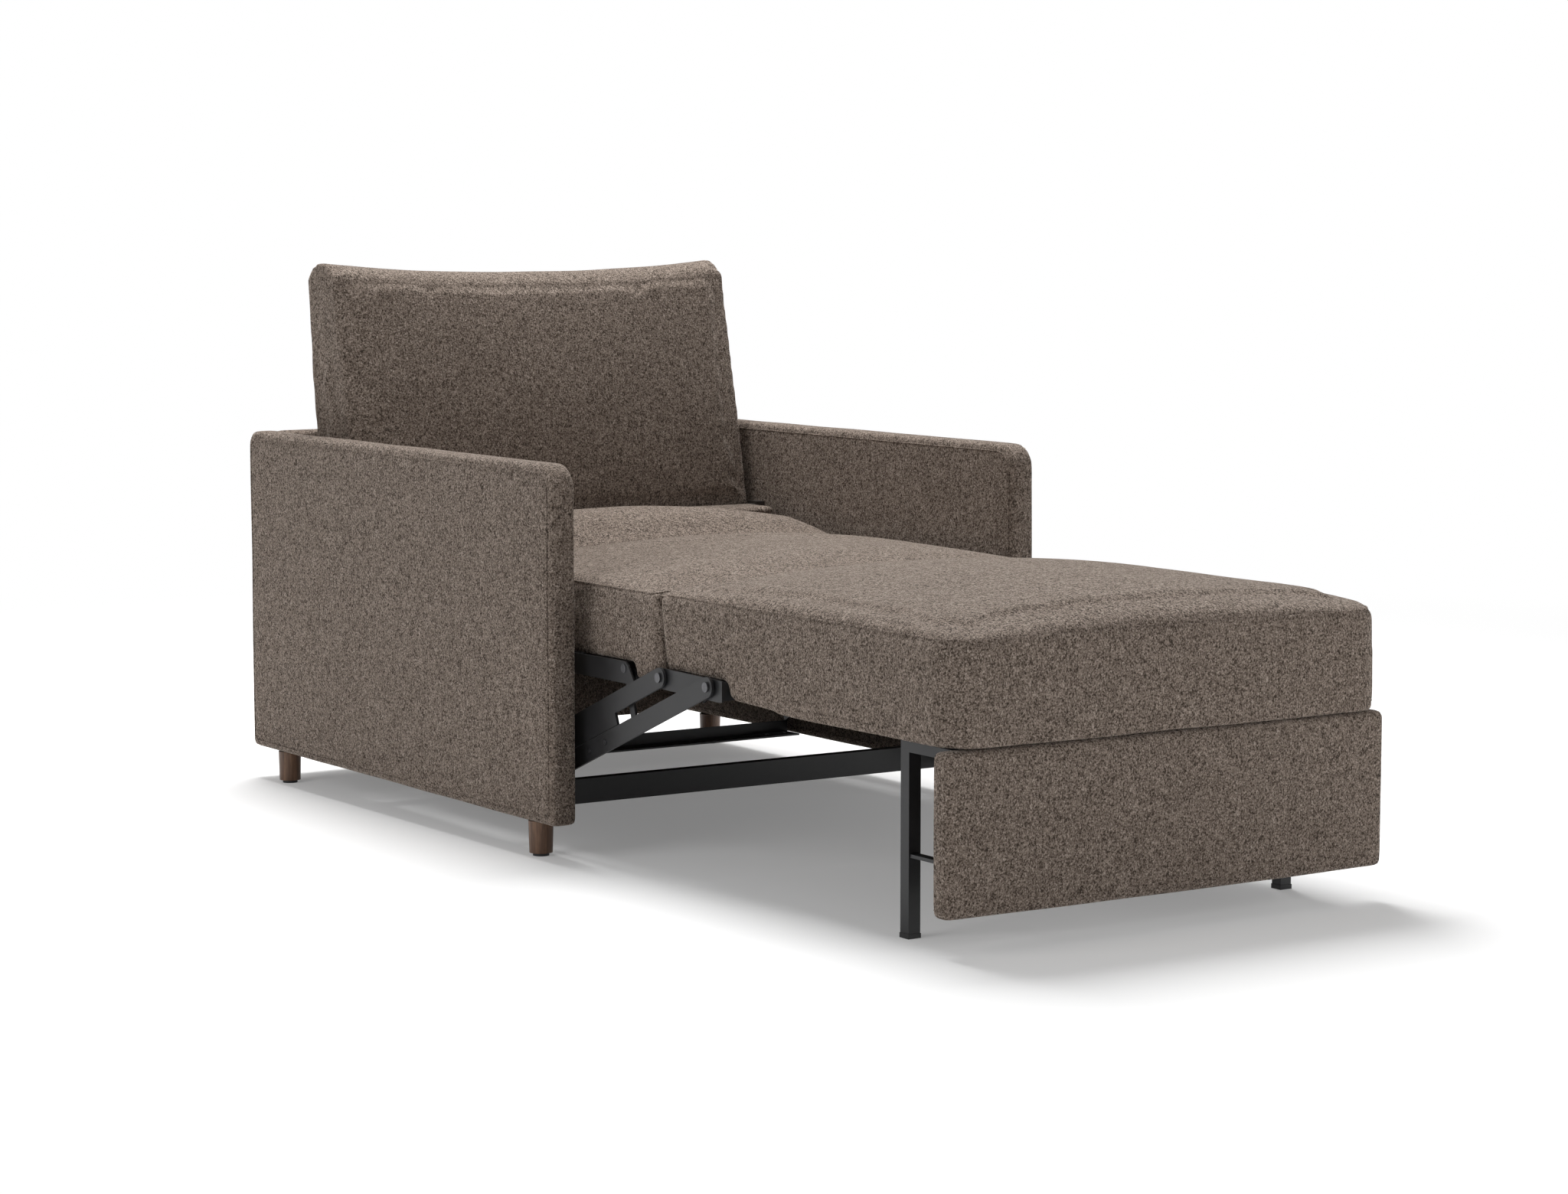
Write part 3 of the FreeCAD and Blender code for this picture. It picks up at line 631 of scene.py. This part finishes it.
@dataclass
class Padding:
    """How a padded piece swells under its cover.

    The cover starts a little inside the solid and swells under pressure. A point ends no further
    inside the solid's surface than least, no further outside than most, and no further aside than
    slide. The side limits keep the seat cushions clear of the link brackets.
    """

    voxel: float = 0.007
    start_inset: float = 0.005
    pressure: float = 4.0
    cap: float = 0.022
    frames: int = 20
    least: float = -0.0015
    most: float = 0.0045
    slide: float = 0.003
    rounds: int = 1
    quick_swell: float = 0.002
    side_limit: float = 0.3965
    low_side_limit: float = 0.3915
    bracket_top: float = 0.332
    clear_of_bracket: float = 0.36

    def kept_clear(self, place: Vector) -> Vector:
        """Keeps a point clear of the steel beside the cushion."""
        widening = ease(place.z, self.bracket_top, self.clear_of_bracket)
        limit = self.low_side_limit + (self.side_limit - self.low_side_limit) * widening
        place.x = min(limit, max(-limit, place.x))
        return place

    def swell(self, obj: bpy.types.Object, held: Callable[[Vector, Vector], float]) -> None:
        """Remeshes a shell, blows it up like a stuffed cover and caps the swelling.

        Args:
            obj: the closed shell.
            held: gives how firmly a point is held, 0 free to 1 fixed, from its place and normal.
        """
        even_mesh(obj, self.voxel)
        if self.rounds > 0:
            soften(obj, self.rounds)
        grip = [held(v.co, v.normal) for v in obj.data.vertices]
        places = [v.co.copy() for v in obj.data.vertices]
        normals = [v.normal.copy() for v in obj.data.vertices]
        for vertex, place, normal, hold in zip(obj.data.vertices, places, normals, grip):
            vertex.co = place - normal * self.start_inset * (1.0 - hold)
        obj.data.update()
        swollen = self.simulated(obj, grip)
        for vertex, place, normal, hold, target in zip(obj.data.vertices, places, normals, grip, swollen):
            shift = target - place
            rise = shift.dot(normal)
            aside = shift - normal * rise
            if aside.length > self.slide:
                aside.length = self.slide
            rise = min(self.most, max(self.least, rise))
            vertex.co = self.kept_clear(place + (normal * rise + aside) * (1.0 - hold))
        obj.data.update()
        refine(obj)

    def simulated(self, obj: bpy.types.Object, grip: Sequence[float]) -> list[Vector]:
        """Lets the cover swell as cloth for some frames.

        Args:
            obj: the cover, drawn in a little.
            grip: how firmly each point is held.

        Returns:
            Each point's place after the last frame, moved by no more than the cap.
        """
        group = obj.vertex_groups.new(name="held")
        for index, hold in enumerate(grip):
            group.add([index], hold, "REPLACE")
        cloth = obj.modifiers.new("cover", "CLOTH")
        cloth.settings.quality = 4
        cloth.settings.mass = 0.35
        cloth.settings.tension_stiffness = 18.0
        cloth.settings.compression_stiffness = 18.0
        cloth.settings.shear_stiffness = 8.0
        cloth.settings.bending_stiffness = 2.0
        cloth.settings.use_pressure = True
        cloth.settings.uniform_pressure_force = self.pressure
        cloth.settings.effector_weights.gravity = 0.0
        cloth.settings.vertex_group_mass = "held"
        scene = bpy.context.scene
        for frame in range(1, self.frames + 1):
            scene.frame_set(frame)
        graph = bpy.context.evaluated_depsgraph_get()
        moved = [v.co.copy() for v in obj.evaluated_get(graph).data.vertices]
        obj.modifiers.remove(cloth)
        obj.vertex_groups.clear()
        scene.frame_set(1)
        result = []
        for vertex, target in zip(obj.data.vertices, moved):
            shift = target - vertex.co
            if shift.length > self.cap:
                shift.length = self.cap
            result.append(vertex.co + shift)
        return result


def unevenness(place: Vector, size: float, amount: float) -> float:
    """A slow rise and fall of a padded surface."""
    return noise.noise(place / size) * amount


@dataclass
class Arm:
    """One padded arm with a boxing strip round its outer panel."""

    side: int
    inset: float = 0.0125
    front_round: float = 0.034
    rear_round: float = 0.020
    foot_round: float = 0.010
    voxel: float = 0.006
    plumpness: float = 0.0026
    inner_share: float = 0.3
    outer_stitching: Stitching = Stitching(0.0014, 0.0045, 0.0011)
    inner_stitching: Stitching = Stitching(0.0010, 0.0045, 0.0009)
    fill: float = 0.95

    @property
    def word(self) -> str:
        """The side's word in the piece names."""
        return "left" if self.side < 0 else "right"

    def outline(self, low: Vector, high: Vector, x: float) -> list[Vector]:
        """The outer panel's seam line, drawn in from the arm's edges."""
        y0 = low.y + self.inset
        y1 = high.y - self.inset
        z0 = low.z + self.inset
        z1 = high.z - self.inset
        corners = [
            (y0, z0, self.foot_round),
            (y0, z1, self.front_round),
            (y1, z1, self.rear_round),
            (y1, z0, self.foot_round),
        ]
        inward = [(1.0, 1.0), (1.0, -1.0), (-1.0, -1.0), (-1.0, 1.0)]
        line: list[Vector] = []
        for (y, z, radius), (sy, sz) in zip(corners, inward):
            centre = (y + sy * radius, z + sz * radius)
            turn = []
            for step in range(CORNER_STEPS + 1):
                angle = math.pi / 2.0 * step / CORNER_STEPS
                y = centre[0] - sy * radius * math.cos(angle)
                z = centre[1] - sz * radius * math.sin(angle)
                turn.append(Vector((x, y, z)))
            if sy * sz > 0:
                turn.reverse()
            line.extend(turn)
        return dense(line, self.voxel)

    def build(self, wardrobe: Wardrobe) -> None:
        """Models the arm's cover and its two seam lines."""
        node = f"arm_cover_{self.word}"
        low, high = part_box(node)
        cover = outer_shell(node, f"{node}_soft")
        even_mesh(cover, self.voxel)
        soften(cover, 9)
        middle = (low + high) / 2.0
        half = (high - low) / 2.0

        def plump(place: Vector, normal: Vector) -> Vector:
            u = abs(place.y - middle.y) / half.y
            w = abs(place.z - middle.z) / half.z
            swell = self.plumpness * (1.0 - u ** 6) * (1.0 - w ** 6)
            side = 1.0 if normal.x * self.side > 0 else self.inner_share
            return place + normal * (swell * side + unevenness(place, 0.16, 0.0009))

        reshape(cover, plump)
        surface = surface_of(cover)
        outward = Vector((float(self.side), 0.0, 0.0))
        start_x = self.side * (max(abs(low.x), abs(high.x)) + 0.1)
        seam = laid_on(surface, self.outline(low, high, start_x), -outward)
        start_x = self.side * (min(abs(low.x), abs(high.x)) - 0.02)
        inner = laid_on(surface, self.outline(low, high, start_x), outward)
        self.outer_stitching.press(cover, seam)
        self.inner_stitching.press(cover, inner)
        smooth_faces(cover, SMOOTH_ANGLE)
        wardrobe.place(cover, "base", Finish.FABRIC, node)
        cord = self.outer_stitching.sew(f"arm_seam_{self.word}", seam)
        wardrobe.place(cord, "base", Finish.FABRIC)
        cord = self.inner_stitching.sew(f"arm_inner_seam_{self.word}", inner)
        wardrobe.place(cord, "base", Finish.FABRIC)


@dataclass
class PaddedPanel:
    """A board with thin padding and one sewn line round it."""

    node: str
    body: str
    voxel: float
    rounds: int
    swell: float
    seam_level: Optional[float] = None
    stitching: Stitching = Stitching(0.0012, 0.004, 0.0009)
    fill: float = 0.9

    def build(self, wardrobe: Wardrobe) -> None:
        """Models the panel's cover and its sewn line."""
        low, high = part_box(self.node)
        cover = outer_shell(self.node, f"{self.node}_soft")
        even_mesh(cover, self.voxel)
        soften(cover, self.rounds)
        middle = (low + high) / 2.0
        half = (high - low) / 2.0
        thin = min(range(3), key=lambda axis: half[axis])
        wide = [axis for axis in range(3) if axis != thin]

        def plump(place: Vector, normal: Vector) -> Vector:
            amount = self.swell
            for axis in wide:
                amount *= 1.0 - (min(1.0, abs(place[axis] - middle[axis]) / half[axis])) ** 4
            facing = abs(normal[thin])
            return place + normal * (amount * facing + unevenness(place, 0.14, 0.0007))

        reshape(cover, plump)
        line: list[Vector] = []
        if self.seam_level is not None:
            surface = surface_of(cover)
            level = low.z + self.seam_level
            line = around(surface, middle, PANEL_RING_POINTS, level)
            self.stitching.press(cover, line)
        smooth_faces(cover, SMOOTH_ANGLE)
        wardrobe.place(cover, self.body, Finish.FABRIC, self.node)
        if line:
            cord = self.stitching.sew(f"{self.node}_seam", line)
            wardrobe.place(cord, self.body, Finish.FABRIC)


def rounded_corner(place: Vector, centre: Vector, toward: Vector, radius: float) -> Vector:
    """Turns a square corner in plan into a round one.

    Args:
        place: the point.
        centre: the round corner's centre.
        toward: the signs of X and Y that point out at the corner.
        radius: the corner's radius.

    Returns:
        The moved point.
    """
    dx = (place.x - centre.x) * toward.x / radius
    dy = (place.y - centre.y) * toward.y / radius
    if dx <= 0.0 or dy <= 0.0:
        return place
    reach = max(dx, dy)
    length = math.hypot(dx, dy)
    if length < 1e-6:
        return place
    return Vector((
        centre.x + toward.x * dx / length * reach * radius,
        centre.y + toward.y * dy / length * reach * radius,
        place.z,
    ))


@dataclass
class SeatCushion:
    """One of the bed's crowned cushions.

    The steps raise or lower the crown at its front and rear ends, so that neighbours part visibly.
    """

    node: str
    body: str
    seam_height: float
    front_corner: float
    rear_corner: float
    padding: Padding
    held_below: float
    joint_faces: Sequence[float] = ()
    hem: Optional[float] = None
    front_step: float = 0.0
    step_reach: float = 0.10
    rear_step: float = 0.0
    rear_reach: float = 0.032
    pocket_half: float = 0.372
    hem_reach: float = 0.36
    seam_stitching: Stitching = Stitching(0.0008, 0.004, 0.0014)
    hem_stitching: Stitching = Stitching(0.0009, 0.004, 0.0008)
    fill: float = 0.85

    def held(self, place: Vector, normal: Vector) -> float:
        """How firmly a point is held: the underside and the faces at a joint are firm."""
        firm = 1.0 - ease(place.z, self.held_below - 0.012, self.held_below + 0.025)
        in_pocket = abs(place.x) < self.pocket_half and place.z < self.held_below + 0.05
        if in_pocket and normal.z < 0.4:
            firm = 1.0
        for level in self.joint_faces:
            firm = max(firm, 1.0 - ease(abs(place.y - level), 0.022, 0.06))
        return firm

    def build(self, wardrobe: Wardrobe) -> None:
        """Models the cushion, its perimeter seam and its hem."""
        low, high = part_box(self.node)
        cover = outer_shell(self.node, f"{self.node}_soft")
        even_mesh(cover, self.padding.voxel)
        half = (high.x - low.x) / 2.0

        def corners(place: Vector, _normal: Vector) -> Vector:
            for sign in (-1.0, 1.0):
                if self.front_corner > 0.0:
                    centre = Vector((sign * (half - self.front_corner), low.y + self.front_corner, 0.0))
                    place = rounded_corner(place, centre, Vector((sign, -1.0, 0.0)), self.front_corner)
                if self.rear_corner > 0.0:
                    centre = Vector((sign * (half - self.rear_corner), high.y - self.rear_corner, 0.0))
                    place = rounded_corner(place, centre, Vector((sign, 1.0, 0.0)), self.rear_corner)
            return place

        reshape(cover, corners)
        self.padding.swell(cover, self.held)

        def stepped(place: Vector, normal: Vector) -> Vector:
            place = place + normal * unevenness(place, 0.13, 0.0012)
            above = ease(place.z, self.seam_height - 0.004, self.seam_height + 0.008)
            inside = 1.0 - ease(abs(place.x) / half, 0.94, 1.0)
            near_front = 1.0 - ease(place.y - low.y, 0.0, self.step_reach)
            near_rear = 1.0 - ease(high.y - place.y, 0.0, self.rear_reach)
            place.z += above * inside * (self.front_step * near_front + self.rear_step * near_rear)
            return place

        reshape(cover, stepped)
        surface = surface_of(cover)
        centre = (low + high) / 2.0
        seam = around(surface, centre, RING_POINTS, self.seam_height)
        self.seam_stitching.press(cover, seam)
        lines = [("seam", seam, self.seam_stitching)]
        if self.hem is not None:
            hem = around(surface, centre, RING_POINTS, low.z + self.hem)
            hem = [point for point in hem if point.y < low.y + self.hem_reach]
            hem.sort(key=lambda point: math.atan2(point.x, -(point.y - centre.y)))
            self.hem_stitching.press(cover, hem)
            lines.append(("hem", hem, self.hem_stitching))
        smooth_faces(cover, SMOOTH_ANGLE)
        wardrobe.place(cover, self.body, Finish.FABRIC, self.node)
        for word, line, stitching in lines:
            cord = stitching.sew(f"{self.node}_{word}", line, closed=word == "seam")
            wardrobe.place(cord, self.body, Finish.FABRIC)


@dataclass
class BackCushion:
    """The upright back cushion with raised corners and a sewn line round its rear panel."""

    node: str = "back_cushion"
    body: str = "back_rest"
    seam_inset: float = 0.009
    ear_rise: float = 0.019
    top_drop: float = 0.020
    point_gap: float = 0.005
    corner_start: float = 0.88
    corner_lift: float = 0.0085
    corner_spread: float = 0.005
    stitching: Stitching = Stitching(0.0008, 0.004, 0.0010)
    padding: Padding = field(
        default_factory=lambda: Padding(rounds=0, side_limit=0.407, low_side_limit=0.407))
    fill: float = 0.8

    def held(self, place: Vector, normal: Vector) -> float:
        """How firmly a point is held: the underside and the sockets are firm."""
        return 1.0 - ease(place.z, 0.466, 0.50)

    def panel_line(self, low: Vector, high: Vector, start: float) -> list[Vector]:
        """The outline of the rear panel, drawn in from the cushion's edges."""
        half = (high.x - low.x) / 2.0 - self.seam_inset
        foot = low.z + self.seam_inset
        crest = high.z - self.ear_rise - self.top_drop
        line = [Vector((-half, start, foot)), Vector((-half, start, crest + self.ear_rise * 0.35))]
        for step in range(1, 40):
            place = -1.0 + 2.0 * step / 40.0
            rise = self.ear_rise * abs(place) ** 2.4
            line.append(Vector((place * (half - 0.006), start, crest + rise)))
        line.append(Vector((half, start, crest + self.ear_rise * 0.35)))
        line.append(Vector((half, start, foot)))
        return dense(line, self.point_gap)

    def build(self, wardrobe: Wardrobe) -> None:
        """Models the cushion and its sewn line."""
        low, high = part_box(self.node)
        cover = outer_shell(self.node, f"{self.node}_soft")
        self.padding.swell(cover, self.held)
        half = (high.x - low.x) / 2.0
        middle = (low.y + high.y) / 2.0

        def eared(place: Vector, normal: Vector) -> Vector:
            place = place + normal * unevenness(place, 0.13, 0.0014)
            beyond = (abs(place.x) / half - self.corner_start) / (1.0 - self.corner_start)
            out = max(0.0, beyond) ** 2
            out *= ease(place.z, high.z - 0.09, high.z - 0.03)
            place.z += self.corner_lift * out
            place.y += math.copysign(self.corner_spread * out, place.y - middle)
            return place

        reshape(cover, eared)
        surface = surface_of(cover)
        line = laid_on(surface, self.panel_line(low, high, high.y + 0.2), Vector((0.0, -1.0, 0.0)))
        self.stitching.press(cover, line)
        smooth_faces(cover, SMOOTH_ANGLE)
        wardrobe.place(cover, self.body, Finish.FABRIC, self.node)
        cord = self.stitching.sew(f"{self.node}_rear_seam", line)
        wardrobe.place(cord, self.body, Finish.FABRIC)


# Studio and camera


@dataclass(frozen=True)
class Studio:
    """A pale floor, a white surround and soft lamps."""

    floor_size: float = 60.0
    key: float = 45.0
    overhead: float = 240.0
    side: float = 50.0
    front: float = 20.0
    fill: float = 0.23

    def floor(self) -> None:
        """Lays the pale floor, which keeps the object's shadow."""
        bpy.ops.object.select_all(action="DESELECT")
        bpy.ops.mesh.primitive_plane_add(size=self.floor_size, location=(0.0, 0.0, 0.0))
        plane = bpy.context.active_object
        plane.name = "studio_floor"
        settle(plane)
        board = NodeBoard.fresh("pale_floor")
        coordinates = board.add("ShaderNodeTexCoord")
        length = board.add("ShaderNodeVectorMath", operation="LENGTH")
        board.join(coordinates.outputs["Object"], length.inputs[0])
        far = board.add("ShaderNodeMapRange", interpolation_type="SMOOTHSTEP")
        far.inputs["From Min"].default_value = 1.5
        far.inputs["From Max"].default_value = 4.2
        board.join(length.outputs["Value"], far.inputs["Value"])
        matte = board.add("ShaderNodeBsdfDiffuse")
        matte.inputs["Color"].default_value = (0.80, 0.80, 0.80, 1.0)
        lift = board.add("ShaderNodeEmission")
        lift.inputs["Color"].default_value = (1.0, 1.0, 1.0, 1.0)
        rays = board.add("ShaderNodeLightPath")
        seen = board.sum("MAXIMUM", rays.outputs["Is Camera Ray"], rays.outputs["Is Glossy Ray"])
        board.join(board.sum("MULTIPLY", seen, 0.2), lift.inputs["Strength"])
        both = board.add("ShaderNodeAddShader")
        board.join(matte.outputs[0], both.inputs[0])
        board.join(lift.outputs[0], both.inputs[1])
        white = board.add("ShaderNodeEmission")
        board.join(seen, white.inputs["Strength"])
        blend = board.add("ShaderNodeMixShader")
        board.join(board.sum("MULTIPLY", far.outputs["Result"], seen), blend.inputs["Fac"])
        board.join(both.outputs[0], blend.inputs[1])
        board.join(white.outputs[0], blend.inputs[2])
        out = board.add("ShaderNodeOutputMaterial")
        board.join(blend.outputs[0], out.inputs["Surface"])
        plane.data.materials.append(board.material)

    def surround(self) -> None:
        """Sets a white surround that lights the object only softly."""
        world = bpy.data.worlds.new("studio_air")
        bpy.context.scene.world = world
        world.use_nodes = True
        tree = world.node_tree
        tree.nodes.clear()
        rays = tree.nodes.new("ShaderNodeLightPath")
        seen = tree.nodes.new("ShaderNodeMath")
        seen.operation = "MAXIMUM"
        tree.links.new(rays.outputs["Is Camera Ray"], seen.inputs[0])
        tree.links.new(rays.outputs["Is Transmission Ray"], seen.inputs[1])
        strength = tree.nodes.new("ShaderNodeMapRange")
        strength.inputs["To Min"].default_value = self.fill
        strength.inputs["To Max"].default_value = 1.0
        tree.links.new(seen.outputs[0], strength.inputs["Value"])
        air = tree.nodes.new("ShaderNodeBackground")
        air.inputs["Color"].default_value = (1.0, 1.0, 1.0, 1.0)
        tree.links.new(strength.outputs["Result"], air.inputs["Strength"])
        out = tree.nodes.new("ShaderNodeOutputWorld")
        tree.links.new(air.outputs[0], out.inputs["Surface"])

    def lamp(self, name: str, place: Point, target: Point, size: float, power: float) -> None:
        """Hangs one square soft lamp that faces a point."""
        data = bpy.data.lights.new(name, "AREA")
        data.shape = "SQUARE"
        data.size = size
        data.energy = power
        lamp = bpy.data.objects.new(name, data)
        bpy.context.scene.collection.objects.link(lamp)
        lamp.location = place
        lamp.rotation_mode = "QUATERNION"
        lamp.rotation_quaternion = (Vector(target) - Vector(place)).to_track_quat("-Z", "Y")

    def build(self) -> None:
        """Sets up the floor, the surround and the lamps."""
        self.floor()
        self.surround()
        self.lamp("key_lamp", (1.0, 3.6, 3.4), (0.0, -0.2, 0.4), 2.6, self.key)
        self.lamp("overhead_lamp", (0.3, 1.45, 4.2), (0.0, 0.0, 0.3), 2.3, self.overhead)
        self.lamp("side_lamp", (-4.6, -0.6, 2.0), (0.0, 0.0, 0.4), 2.6, self.side)
        self.lamp("front_lamp", (0.8, -3.2, 0.9), (0.0, -1.0, 0.25), 1.6, self.front)


@dataclass(frozen=True)
class StudioCamera:
    """The camera that the photograph was taken with."""

    place: Point = (-3.29106, -4.91257 + SHIFT, 1.01125)
    turn: float = 33.5196
    tilt: float = 5.9985
    focal_pixels: float = 4826.0
    image_width: float = 2048.0
    sensor: float = 36.0

    def build(self) -> None:
        """Places the camera and makes it the scene's own."""
        data = bpy.data.cameras.new("studio_camera")
        data.sensor_fit = "HORIZONTAL"
        data.sensor_width = self.sensor
        data.lens = self.focal_pixels / self.image_width * self.sensor
        data.clip_start = 0.1
        data.clip_end = 200.0
        camera = bpy.data.objects.new("studio_camera", data)
        bpy.context.scene.collection.objects.link(camera)
        camera.location = self.place
        camera.rotation_euler = (math.radians(90.0 - self.tilt), 0.0, math.radians(-self.turn))
        bpy.context.scene.camera = camera


# The frame's own solids


@dataclass(frozen=True)
class BareMetalwork:
    """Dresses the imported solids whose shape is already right."""

    steel: Sequence[str] = (
        "front_beam", "rear_angle", "pivot_plate_left", "pivot_plate_right", "slide_rails_left",
        "slide_rails_right", "back_posts", "lower_link_left", "lower_link_right",
        "upper_link_left", "upper_link_right", "front_side_rails", "front_end_rails",
        "link_bracket_left", "link_bracket_right", "front_leg_left", "front_leg_right",
        "panel_ties", "panel_hangers", "deck_side_rails", "deck_end_rails", "deck_plate_left",
        "deck_plate_right", "prop_strut_left", "prop_strut_right", "post_sockets",
    )
    # The flap lugs and rod get the coat whose colour is painted shade.
    shade_matched: Sequence[str] = ("flap_lugs", "flap_rod")
    bolts: Sequence[str] = (
        "beam_screws", "base_pins", "link_rivets_left", "link_rivets_right", "tip_bolts",
        "roller_studs", "prop_bolts",
    )
    plastic: Sequence[str] = ("foot_glides", "leg_caps", "deck_rollers")
    wood: Sequence[str] = ("wooden_feet",)
    slats: Sequence[str] = ("front_slats", "deck_slats")
    boards: Sequence[str] = (
        "arm_board_left", "arm_board_right", "back_panel_board", "rear_ledge_board",
        "foot_panel_board", "flap_board", "back_board",
    )

    def build(self, wardrobe: Wardrobe) -> None:
        """Gives every kept solid its finish."""
        groups = (
            (self.steel, Finish.STEEL),
            (self.shade_matched, Finish.COATED),
            (self.bolts, Finish.BOLTS),
            (self.plastic, Finish.PLASTIC),
            (self.wood, Finish.FEET),
            (self.slats, Finish.SLATS),
            (self.boards, Finish.BOARD),
        )
        for names, finish in groups:
            for name in names:
                wardrobe.dress(bpy.data.objects[name], finish)
                LOG.info("%s: kept, %s", name, finish.slot)


PANELS = (
    PaddedPanel("back_panel_cover", "base", voxel=0.007, rounds=6, swell=0.002, seam_level=0.015),
    PaddedPanel("rear_ledge_pad", "base", voxel=0.006, rounds=3, swell=0.001),
    PaddedPanel("flap_pad", "rear_flap", voxel=0.004, rounds=2, swell=0.0006),
    PaddedPanel("foot_panel_cover", "front_section", voxel=0.005, rounds=7, swell=0.003,
                seam_level=0.013),
)
CUSHIONS = (
    SeatCushion("front_cushion", "front_section", seam_height=0.4335, front_corner=0.055,
                rear_corner=0.0, padding=Padding(), held_below=0.330,
                joint_faces=(y_from_arm(-0.188),), hem=0.015, rear_step=0.009),
    SeatCushion("middle_cushion", "seat_deck", seam_height=0.432, front_corner=0.0,
                rear_corner=0.02, padding=Padding(), held_below=0.335,
                joint_faces=(y_from_arm(-0.184), y_from_arm(0.430)),
                front_step=-0.013, step_reach=0.16, rear_step=0.005),
    SeatCushion("rear_cushion", "seat_deck", seam_height=0.434, front_corner=0.02,
                rear_corner=0.03, padding=Padding(), held_below=0.335,
                joint_faces=(y_from_arm(0.433),), front_step=-0.010),
)


def main() -> None:
    """Builds the dressed chair bed, the studio and the camera."""
    logging.basicConfig(level=logging.INFO, format="%(name)s %(message)s")
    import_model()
    bpy.context.scene.view_settings.view_transform = "Standard"
    wardrobe = Wardrobe()
    StudioCamera().build()
    Studio().build()
    BareMetalwork().build(wardrobe)
    for side in (-1, 1):
        Arm(side).build(wardrobe)
    for piece in (*PANELS, *CUSHIONS, BackCushion()):
        piece.build(wardrobe)


if __name__ == "__main__":
    main()
